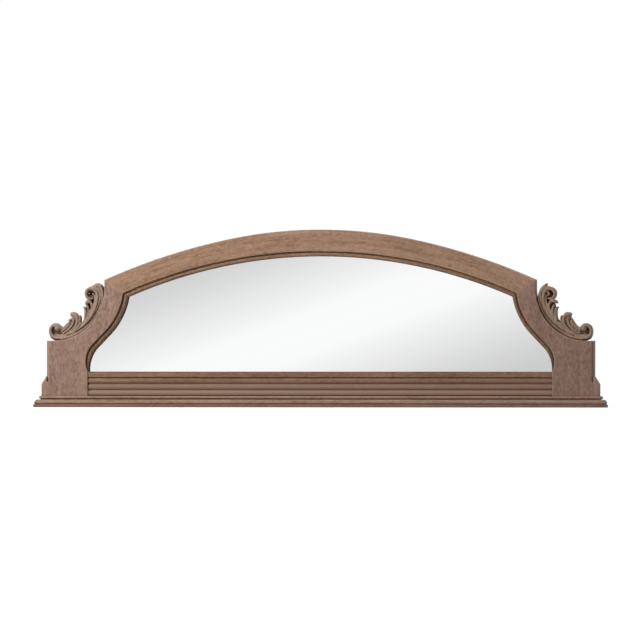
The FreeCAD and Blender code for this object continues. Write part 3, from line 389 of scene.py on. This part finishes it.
# Each board's tone, its seed for the grain, the grain's direction and its look.
OAK_BOARDS = {
    "top_rail": ((143, 113, 92), 1.0, grain_round_arch, BOARD),
    # The left post is painted a little lighter and the right post darker: painted light falling
    # from the left.
    "left_post": ((135, 109, 95), 2.0, grain_up, POST),
    "right_post": ((130, 103, 90), 3.0, grain_up, POST),
    "bottom_rail": ((122, 94, 76), 4.0, grain_across, REEDED),
    "sight_moulding_top": ((128, 101, 82), 5.0, grain_round_arch, SIGHT_TOP),
    "sight_moulding_left": ((112, 87, 70), 6.0, grain_up, SIGHT),
    "sight_moulding_right": ((118, 92, 76), 7.0, grain_up, SIGHT_RIGHT),
    "base_moulding_front": ((142, 115, 99), 8.0, grain_across, BASE),
    "base_moulding_left": ((150, 125, 109), 9.0, grain_up, BASE),
    "base_moulding_right": ((130, 105, 90), 10.0, grain_up, BASE),
    "base_board": ((138, 110, 90), 11.0, grain_across, BASE),
    "back_board_left": ((142, 113, 84), 12.0, grain_up, RAW),
    "back_board_middle": ((124, 96, 70), 13.0, grain_up, RAW),
    "back_board_right": ((135, 108, 82), 14.0, grain_up, RAW),
    "glass_blocks": ((176, 148, 112), 15.0, grain_across, RAW),
    "left_mitre_tongue": ((170, 142, 106), 16.0, grain_up, RAW),
    "right_mitre_tongue": ((168, 140, 104), 17.0, grain_up, RAW),
    "left_carving_dowels": ((176, 146, 108), 18.0, grain_up, RAW),
    "right_carving_dowels": ((172, 143, 106), 19.0, grain_up, RAW),
}
CARVED_OAK = {"left": ((143, 120, 105), 20.0), "right": ((141, 119, 101), 21.0)}
STEEL_NODES = ("base_screws", "back_board_screws", "hanging_plate_screws",
               "hanging_plate_left", "hanging_plate_right")


def dress(name, material):
    materials = NODES[name].data.materials
    materials.clear()
    materials.append(material)


def dress_nodes():
    for name, (tone, seed, grain, look) in OAK_BOARDS.items():
        dress(name, oak(f"oak_{name}", tone, seed, grain, look))
    dress("mirror_glass", silvered_glass())
    dress("backing_card", grey_card())
    steel = brushed_steel()
    for name in STEEL_NODES:
        dress(name, steel)


# Carvings
#
# A carving is a bundle of tapering ribs that grow from a stem along the cove and end in
# rounded lobes and scrolls. A rib is a row of places (across, up, half width, crest), all
# in hundredths of the cove's radius: across and up from the cove's centre, with across
# towards the post, and the crest above the carving's back.
HUNDREDTH = 0.01

GROUND_RIBS = {
    "stem": [(-1, -91, 7.0, 8.5), (14, -91, 7.2, 8.5), (30, -87, 7.4, 9),
             (46, -79, 8.0, 9.5), (60, -68, 8.6, 9.5), (71, -55.5, 9.2, 9.5),
             (80, -40.5, 9.6, 9.5), (85, -24, 10.2, 9.5), (85.5, -9, 7.8, 10), (82, -1, 5.6, 10)],
    "upper_leaf": [(60, -70, 3.6, 7), (65.5, -54, 6.8, 7), (68, -42, 7.6, 7),
                   (70, -31, 6.6, 7), (71, -23, 5.6, 7)],
    "lower_leaf": [(14, -84, 5.0, 7), (24, -76, 6.0, 7), (31, -67, 6.2, 7.5),
                   (36, -57, 4.6, 8), (37, -51, 4.4, 8)],
    "lower_leaf_side": [(26, -86, 6.0, 7), (38, -77, 7.0, 7), (44, -68, 7.0, 7.5),
                        (45.5, -59, 5.4, 8), (42.5, -53, 4.4, 8)],
    "above_eye": [(68, -5.2, 4.6, 7), (75, -5.2, 4.8, 7), (82, -6.8, 4.8, 8)],
    "below_eye": [(68, -14.2, 4.2, 7), (75, -15.5, 4.7, 7), (83, -14.2, 4.4, 8)],
    "dowel_boss": [(28, -86.5, 4.6, 12), (36.4, -84, 5.4, 13), (43, -78.5, 4.4, 12.4)],
    "volute_eye": [(-2.2, -74.8, 4.4, 6.5), (-3.2, -81.6, 4.8, 6), (5, -83, 5.0, 5.5),
                   (13, -81, 5.0, 7)],
}
STEM_RIBS = {
    "inner": [(20, -90, 2.2, 10), (38, -82.6, 2.9, 12), (54, -72.8, 3.2, 13.5),
              (67, -60.5, 3.4, 14.5), (76.5, -46.5, 3.4, 15), (82.5, -32, 3.4, 15.5),
              (85, -18, 3.6, 16), (83.6, -9, 3.8, 16.2), (80, -3.6, 4.0, 16.6),
              (74.6, -0.4, 4.0, 17), (68.4, -1.4, 3.5, 17.2), (64, -5.4, 3.1, 17.2),
              (62.9, -11.4, 2.8, 17), (65.6, -17.2, 2.8, 16.4), (70.6, -19.8, 2.6, 15),
              (75.6, -19, 2.0, 13)],
    "between": [(46, -80.6, 2.0, 10.6), (61, -70, 2.2, 11.4), (74, -55.6, 2.3, 12.2),
                (83.6, -39, 2.4, 12.8), (89.4, -24, 2.5, 13.2), (90.6, -12, 2.8, 13.8),
                (87.4, -3.2, 3.0, 14.6), (81.4, 1.4, 2.8, 15), (74.6, 2.6, 1.8, 15)],
    "second_inner": [(32, -83.4, 1.8, 9.6), (46, -75, 2.4, 11.6), (58.5, -64.5, 2.6, 12.6),
                     (69.5, -51, 2.6, 13.4), (76.5, -37.5, 2.6, 13.8), (80, -25, 2.6, 13.8),
                     (80.4, -16, 2.4, 12.8), (78, -12.4, 1.6, 12)],
    "pointed": [(53, -69, 1.6, 10.4), (63, -57, 2.0, 12.2), (70.6, -44.5, 2.2, 13.2),
                (74.6, -35.5, 2.2, 13.6), (77.4, -29.6, 1.4, 13)],
}
UPPER_LEAF_RIBS = {
    "edge": [(55, -72.5, 2.0, 10), (59.6, -62, 2.5, 12.6), (61.4, -50, 2.7, 14),
             (61.4, -42, 2.6, 14.6), (59.6, -37.4, 2.1, 14.6), (57.8, -36, 1.4, 13)],
    "middle": [(58, -70, 1.8, 9.8), (64.5, -58, 2.4, 12), (67.2, -46.5, 2.5, 13.4),
               (67, -38, 2.6, 14.6), (64.4, -32.4, 2.4, 15.2)],
}
LOWER_LEAF_RIBS = {
    "big": [(24, -87, 2.2, 10), (36, -79, 3.0, 12.2), (43, -70, 3.5, 14.2),
            (45.4, -61, 3.8, 15.6), (43.6, -54, 4.6, 16.6), (39.6, -50.2, 5.2, 17),
            (35.4, -49.6, 4.4, 16)],
    "middle": [(18, -85.4, 2.0, 9.8), (28.6, -77.6, 2.7, 12), (35.4, -69, 3.0, 13.8),
               (38, -60.5, 3.2, 15), (36.6, -55, 2.8, 15)],
    "tip": [(14, -82.5, 1.9, 9.6), (22.6, -76.2, 2.6, 11.6), (28.6, -69.2, 2.9, 13.2),
            (31, -63, 2.7, 14), (29.6, -60.6, 1.8, 13)],
    "small_tip": [(12, -79.6, 1.8, 9.2), (19, -75, 2.3, 11), (23.8, -70.4, 2.3, 12.4),
                  (25.4, -67.2, 1.5, 12)],
    "flame": [(30, -87, 1.9, 10), (41, -79.4, 2.6, 12.6), (48, -72, 2.7, 14),
              (52.2, -67, 1.9, 13.6), (54, -64.8, 1.1, 12)],
    "side": [(46, -71, 1.6, 11), (50, -63.5, 1.9, 13), (51, -57, 1.9, 14),
             (49.8, -52.8, 1.6, 13.8)],
}
VOLUTE_RIBS = {
    "rim": [(24, -91, 3.4, 10.4), (13, -94.4, 4.4, 11.6), (3.6, -95.4, 4.8, 13),
            (-3.8, -91.4, 4.4, 14), (-7.2, -84.4, 3.2, 14.4), (-6.9, -77.4, 3.0, 14.8),
            (-3.4, -72, 3.4, 15.4), (2, -70.4, 4.4, 16.4), (6.4, -72.8, 5.8, 17),
            (6.2, -76.4, 6.4, 17.2)],
    "ball_strand": [(15.4, -84.6, 2.0, 9.6), (15, -79, 2.6, 11.6), (12, -74, 3.0, 13.6)],
}
COMMON_RIBS = (GROUND_RIBS, STEM_RIBS, UPPER_LEAF_RIBS, LOWER_LEAF_RIBS, VOLUTE_RIBS)
OUTER_RIB = [(6, -97.6, 2.8, 11), (18, -96, 3.0, 12.4), (34.8, -91.4, 3.6, 14),
             (51.4, -82.7, 3.2, 13), (67.2, -70.9, 3.0, 12.6), (79.8, -56.6, 3.0, 13),
             (88.8, -41.2, 3.0, 13.4), (94.4, -26.2, 3.0, 13.6)]
LEFT_RIBS = {
    "curl": [(72.4, -44, 2.2, 12.6), (74, -35.6, 2.4, 14), (73, -29, 2.8, 15.4),
             (69.4, -25.2, 3.4, 16.8), (65.4, -26, 3.9, 17), (63.6, -29.4, 2.6, 15.6)],
    "crown": [(88, -4, 8.0, 10), (78, 0, 4.6, 10), (69, -1, 3.0, 10)],
    "outer": OUTER_RIB + [(95.6, -13, 3.2, 14.2), (94.4, -4, 4.0, 14.8), (90.4, 2.8, 4.8, 15.2),
                          (84.4, 5.4, 4.9, 15.4), (78, 3.4, 3.4, 15), (72.4, 1.4, 2.0, 14)],
}
RIGHT_RIBS = {
    "curl": [(72.4, -44, 2.2, 12.6), (74, -35.6, 2.4, 14), (73, -28.6, 2.8, 15.4),
             (68.4, -24.2, 3.6, 16.8), (62.6, -24.8, 3.2, 17), (59.4, -27.4, 1.7, 15.4)],
    "crown": [(85, -6, 6.0, 10), (78, -1, 4.4, 10), (69, -1, 3.0, 10)],
    "outer": OUTER_RIB + [(93.6, -16, 3.2, 14.2), (90.4, -7, 3.8, 14.6), (86.6, 0, 4.0, 15),
                          (82.2, 4.8, 2.9, 14.8), (79.6, 8.2, 1.6, 13.8)],
    "eye_floor": [(70, -9.4, 4.0, 7), (78, -10, 4.0, 7)],
    "eye": [(82, -7.4, 2.4, 13), (78, -6.6, 2.2, 14), (74.6, -8.2, 2.2, 15), (74.2, -12, 2.2, 15.4),
            (77.6, -13.4, 1.6, 13.6)],
}

# How a rib is drawn: steps between its places, points across its face, how far the crest
# falls to its sides, how much narrower its back is, and the shares of a quarter turn that
# round its ends off. Then the skin's voxels and smoothing, and how far out it may reach.
STEPS_PER_SPAN = 6
SECTION_POINTS = 15
CREST_FALL_SHARE = 1.6
BACK_TAPER_SHARE = 0.86
END_TURNS = (0.35, 0.62, 0.82, 0.96)
CARVING_VOXEL = 0.0008
SMOOTHING_ROUNDS = 3
COVE_REACH = 0.1568


def smooth_row(places):
    """Places along a smooth curve through the given ones."""
    ends = ([tuple(2 * a - b for a, b in zip(places[0], places[1]))] + places
            + [tuple(2 * a - b for a, b in zip(places[-1], places[-2]))])
    row = []
    for index in range(1, len(ends) - 2):
        for step in range(STEPS_PER_SPAN):
            t = step / STEPS_PER_SPAN
            row.append(tuple(
                0.5 * (2 * b + (c - a) * t + (2 * a - 5 * b + 4 * c - d) * t ** 2
                       + (3 * b - a - 3 * c + d) * t ** 3)
                for a, b, c, d in zip(*ends[index - 1:index + 3])))
    return row + [places[-1]]


def rounded_end(place, inner):
    """The places that round a rib off beyond its last one."""
    along = Vector((place[0] - inner[0], place[1] - inner[1])).normalized()
    row = []
    for turn in END_TURNS:
        angle = turn * math.pi / 2
        reach = place[2] * math.sin(angle)
        half = place[2] * math.cos(angle)
        row.append((place[0] + along.x * reach, place[1] + along.y * reach, half,
                    place[3] - CREST_FALL_SHARE * (place[2] - half)))
    return row


def rib_section(place, along):
    """One section across a rib: a rounded crest, then sides that fall to the flat back."""
    across, up, half, crest = place
    shares = [math.sin((index / (SECTION_POINTS - 1) - 0.5) * math.pi)
              for index in range(SECTION_POINTS)]
    corners = [(share, crest - half * CREST_FALL_SHARE * (1 - math.sqrt(max(0.0, 1 - share ** 2))))
               for share in shares]
    corners += [(BACK_TAPER_SHARE, 0.0), (-BACK_TAPER_SHARE, 0.0)]
    return [(across - along.y * half * share, up + along.x * half * share, max(0.0, level))
            for share, level in corners]


def add_rib(mesh, places):
    row = smooth_row(places)
    row = (list(reversed(rounded_end(row[0], row[1]))) + row
           + rounded_end(row[-1], row[-2]))
    rings = []
    for index, place in enumerate(row):
        before, after = row[max(index - 1, 0)], row[min(index + 1, len(row) - 1)]
        along = Vector((after[0] - before[0], after[1] - before[1])).normalized()
        rings.append([mesh.verts.new(corner) for corner in rib_section(place, along)])
    count = len(rings[0])
    for first, second in zip(rings, rings[1:]):
        for index in range(count):
            following = (index + 1) % count
            mesh.faces.new((first[index], first[following], second[following], second[index]))
    mesh.faces.new(list(reversed(rings[0])))
    mesh.faces.new(rings[-1])


def press_into_cove(mesh, side):
    """Keeps a carving's outer edge just off the wood that it lies against."""
    for vert in mesh.vertices:
        across = COVE_CENTRE[0] - side * vert.co.x
        up = vert.co.z - COVE_CENTRE[1]
        reach = math.hypot(across, up)
        if reach > COVE_REACH:
            vert.co.x = side * (COVE_CENTRE[0] - across * COVE_REACH / reach)
            vert.co.z = COVE_CENTRE[1] + up * COVE_REACH / reach


def melt(piece):
    """Joins a piece's overlapping ribs into one smooth skin."""
    remesh = piece.modifiers.new("remesh", "REMESH")
    remesh.mode = "VOXEL"
    remesh.voxel_size = CARVING_VOXEL
    remesh.use_smooth_shade = True
    smooth = piece.modifiers.new("smooth", "SMOOTH")
    smooth.iterations = SMOOTHING_ROUNDS
    graph = bpy.context.evaluated_depsgraph_get()
    melted = bpy.data.meshes.new_from_object(piece.evaluated_get(graph))
    piece.modifiers.clear()
    piece.data = melted


def carve(name, side, own_ribs):
    """Builds a carving's ribs in its cove and melts them into one piece."""
    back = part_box(f"{name}_carving")[1][1]
    mesh = bmesh.new()
    for ribs in COMMON_RIBS + (own_ribs,):
        for places in ribs.values():
            add_rib(mesh, places)
    unit = COVE_RADIUS * HUNDREDTH
    for vert in mesh.verts:
        across, up, level = vert.co * unit
        vert.co = (side * (COVE_CENTRE[0] - across), back - level, COVE_CENTRE[1] + up)
    bmesh.ops.recalc_face_normals(mesh, faces=mesh.faces)
    data = bpy.data.meshes.new(f"{name}_acanthus")
    mesh.to_mesh(data)
    mesh.free()
    piece = bpy.data.objects.new(f"{name}_acanthus", data)
    bpy.context.scene.collection.objects.link(piece)
    melt(piece)
    press_into_cove(piece.data, side)
    tone, seed = CARVED_OAK[name]
    piece.data.materials.append(oak(f"oak_{name}_acanthus", tone, seed, grain_up, CARVED))
    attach(piece, "root")
    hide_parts(f"{name}_carving")


# Studio
#
# The floor: how far it reaches, its tone, its glow near the mirror and far from it, the
# distances between which the glow rises, and the share of it that reflections show. Then the
# level of light that the world gives.
FLOOR_REACH = 200.0
FLOOR_TONE = 0.5
FLOOR_GLOW_NEAR = 0.61
FLOOR_GLOW_FAR = 0.88
FLOOR_GLOW_REACH = (0.9, 3.6)
FLOOR_GLOW_MIRRORED = 0.5
WORLD_LEVEL = 0.28

# The card that the mirror reflects: how far it stands in front, its size and its strength,
# and its pale band, as two points on the glass and the levels beside it (metres from the
# band and 8-bit values).
CARD_DISTANCE = 2.6
CARD_SIZE = (2.6, 1.6)
CARD_STRENGTH = 1.202
BAND_FROM = (-0.29, 0.127)
BAND_TO = (0.32, 0.352)
BAND_LEVELS = ((0.0, 252), (0.06, 250), (0.12, 240), (0.17, 232), (0.23, 221), (0.27, 214),
               (0.33, 205))

# Lamps: place, width and power.
LAMPS = {
    "key": ((-2.0, -2.1, 2.2), 1.1, 122),
    "fill": ((2.8, -3.0, 1.4), 2.0, 26),
    "back": ((0.5, 3.0, 2.4), 2.4, 60),
}
LAMP_TARGET = (-0.05, 0, 0.25)


def seen_directly(g, mirrored=1.0):
    """1 for camera rays, a level for mirrored and transmitted ones, and 0 for other light."""
    rays = g.add("ShaderNodeLightPath").outputs
    other = g.math("MAXIMUM", rays["Is Glossy Ray"], rays["Is Transmission Ray"])
    return g.math("MAXIMUM", rays["Is Camera Ray"], g.math("MULTIPLY", other, mirrored))


def staged_plane(name, corners, material):
    data = bpy.data.meshes.new(name)
    data.from_pydata(corners, [], [tuple(range(len(corners)))])
    data.materials.append(material)
    piece = bpy.data.objects.new(name, data)
    bpy.context.scene.collection.objects.link(piece)
    return piece


def make_floor():
    """A pale floor that looks white where nothing shades it.

    Its glow is weaker near the mirror, where the lamps light it, so that shadows show, and
    weaker in reflections, so that the glass shows it pale and not clipped.
    """
    g = material_graph("floor")
    rise = g.share(g.measure("LENGTH", g.place()), *FLOOR_GLOW_REACH,
                   FLOOR_GLOW_FAR - FLOOR_GLOW_NEAR)
    glow_level = g.math("ADD", FLOOR_GLOW_NEAR, rise)
    diffuse = g.add("ShaderNodeBsdfDiffuse", Color=(FLOOR_TONE, FLOOR_TONE, FLOOR_TONE, 1.0))
    glow = g.add("ShaderNodeEmission", Color=WHITE,
                 Strength=g.math("MULTIPLY", seen_directly(g, FLOOR_GLOW_MIRRORED),
                                 glow_level))
    both = g.add("ShaderNodeAddShader", values=(diffuse.outputs[0], glow.outputs[0]))
    reach = FLOOR_REACH
    staged_plane("floor", [(-reach, -reach, 0), (reach, -reach, 0), (reach, reach, 0),
                           (-reach, reach, 0)], g.finish(both))


def make_world():
    """White for what sees it directly, and a plain level of light for the rest."""
    world = bpy.data.worlds.new("studio")
    bpy.context.scene.world = world
    g = Graph(world, "ShaderNodeOutputWorld")
    level = g.add("ShaderNodeMapRange", Value=seen_directly(g), To_Min=WORLD_LEVEL, To_Max=1.0)
    g.finish(g.add("ShaderNodeBackground", Color=WHITE, Strength=level.outputs[0]))


def card_material():
    """Grey levels that fall away on both sides of a slanting pale band."""
    g = material_graph("card")
    split = g.add("ShaderNodeSeparateXYZ", Vector=g.place())
    run = Vector((BAND_TO[0] - BAND_FROM[0], BAND_TO[1] - BAND_FROM[1])).normalized()
    outermost = BAND_LEVELS[-1][0]
    widest = outermost * (1 + CARD_DISTANCE / CAMERA_DISTANCE)
    across = g.math("SUBTRACT", g.math("MULTIPLY", split.outputs["Z"], run.x / widest),
                    g.math("MULTIPLY", split.outputs["X"], run.y / widest))
    color = g.ramp(g.math("ABSOLUTE", across), [(distance / outermost, srgb(level, level, level))
                                                for distance, level in BAND_LEVELS])
    return g.finish(g.add("ShaderNodeEmission", Color=color, Strength=CARD_STRENGTH))


def make_card():
    """A softly graded card in front of the glass, seen only by reflections."""
    width, height = CARD_SIZE
    card = staged_plane("card", [(-width / 2, 0, -height / 2), (width / 2, 0, -height / 2),
                                 (width / 2, 0, height / 2), (-width / 2, 0, height / 2)],
                        card_material())
    glass_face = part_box("mirror_glass")[0][1]
    card.location = (BAND_FROM[0] - math.tan(VIEW_AZIMUTH) * CARD_DISTANCE,
                     glass_face - CARD_DISTANCE, BAND_FROM[1])
    card.visible_camera = False
    card.visible_diffuse = False
    card.visible_shadow = False
    card.visible_transmission = False


def make_lamps():
    for name, (place, width, power) in LAMPS.items():
        data = bpy.data.lights.new(name, "AREA")
        data.shape = "DISK"
        data.size = width
        data.energy = power
        lamp = bpy.data.objects.new(name, data)
        lamp.location = place
        aim = Vector(LAMP_TARGET) - Vector(place)
        lamp.rotation_euler = aim.to_track_quat("-Z", "Y").to_euler()
        lamp.visible_glossy = False
        bpy.context.scene.collection.objects.link(lamp)


place_camera()
dress_nodes()
carve("left", -1, LEFT_RIBS)
carve("right", 1, RIGHT_RIBS)
make_floor()
make_world()
make_card()
make_lamps()
bpy.context.scene.view_settings.view_transform = "Standard"
